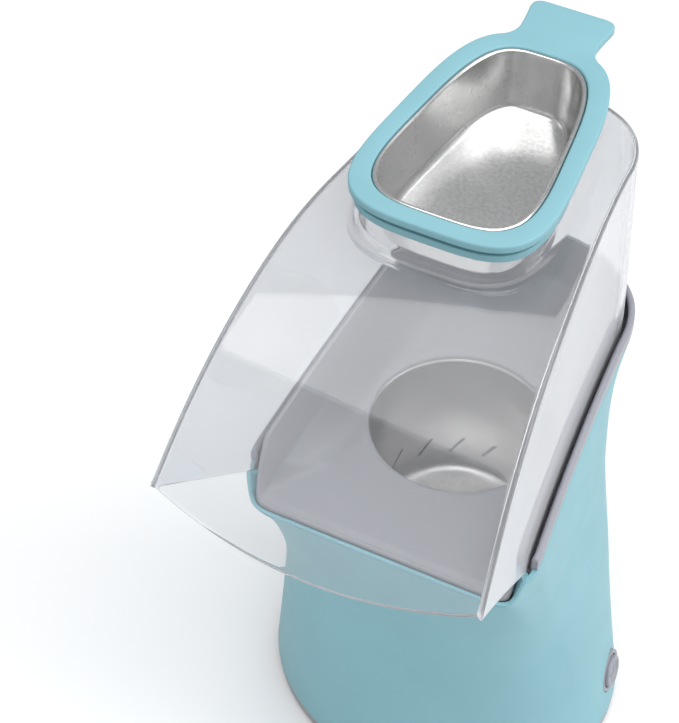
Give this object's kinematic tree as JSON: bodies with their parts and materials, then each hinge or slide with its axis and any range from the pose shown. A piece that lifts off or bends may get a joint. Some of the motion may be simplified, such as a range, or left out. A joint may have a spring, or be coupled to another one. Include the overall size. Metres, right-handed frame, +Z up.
{
  "type": "hot-air popcorn maker",
  "caption": "Vase-shaped hot-air popcorn maker with a clear lift-off pouring hood, a butter-melting cup on top and a push button low on one side.",
  "frame": {"origin": "on the table, under the middle of the overall width and depth", "axes": "+Z up, -Y towards the pouring side, +X towards the button"},
  "size_m": [0.1998, 0.2904, 0.3932],
  "materials": {
    "teal": "satin moulded plastic",
    "grey": "satin moulded plastic",
    "clear": "polished clear polycarbonate",
    "aluminium": "drawn, satin",
    "steel": "plated sheet and turned steel",
    "mica": "pressed mica sheet",
    "nichrome": "oxidised resistance wire",
    "rubber": "moulded rubber",
    "dark_plastic": "glass-filled nylon",
    "circuit_board": "phenolic board"
  },
  "bodies": {
    "base": {"base_shell": "teal", "rim_trim": "grey", "pouring_deck": "grey", "base_plate": "grey", "button_ring": "grey", "popping_chamber": "aluminium", "air_jacket": "steel", "motor": "steel", "motor_bracket": "steel", "thermostat": "steel", "thermal_fuse": "steel", "base_screw_1": "steel", "base_screw_2": "steel", "base_screw_3": "steel", "base_screw_4": "steel", "heater_former": "mica", "heater_wire": "nichrome", "cord_gland": "rubber", "foot_pad_1": "rubber", "foot_pad_2": "rubber", "foot_pad_3": "rubber", "foot_pad_4": "rubber", "switch_module": "dark_plastic", "rectifier_board": "circuit_board"},
    "rotor": {"motor_shaft": "steel", "fan_wheel": "dark_plastic"},
    "button": {"button_cap": "grey"},
    "hood": {"chute_hood": "clear"},
    "cup": {"cup_frame": "teal", "cup_tray": "aluminium", "cup_ring": "teal"}
  },
  "joints": [
    {"name": "hood_lift", "type": "slide", "parent": "base", "child": "hood", "axis": [0, 0, 1], "range_m": [0, 0.15]},
    {"name": "cup_lift", "type": "slide", "parent": "hood", "child": "cup", "axis": [0, 0, 1], "range_m": [0, 0.06]},
    {"name": "button_press", "type": "slide", "parent": "base", "child": "button", "axis": [-0.9853, -0.0689, -0.1564], "range_m": [0, 0.0025], "stiffness_N_per_m": 400, "springref_m": -0.001},
    {"name": "fan_spin", "type": "hinge", "parent": "base", "child": "rotor", "pos_m": [0, 0.02775, 0.06], "axis": [0, 0, 1], "continuous": true}
  ]
}
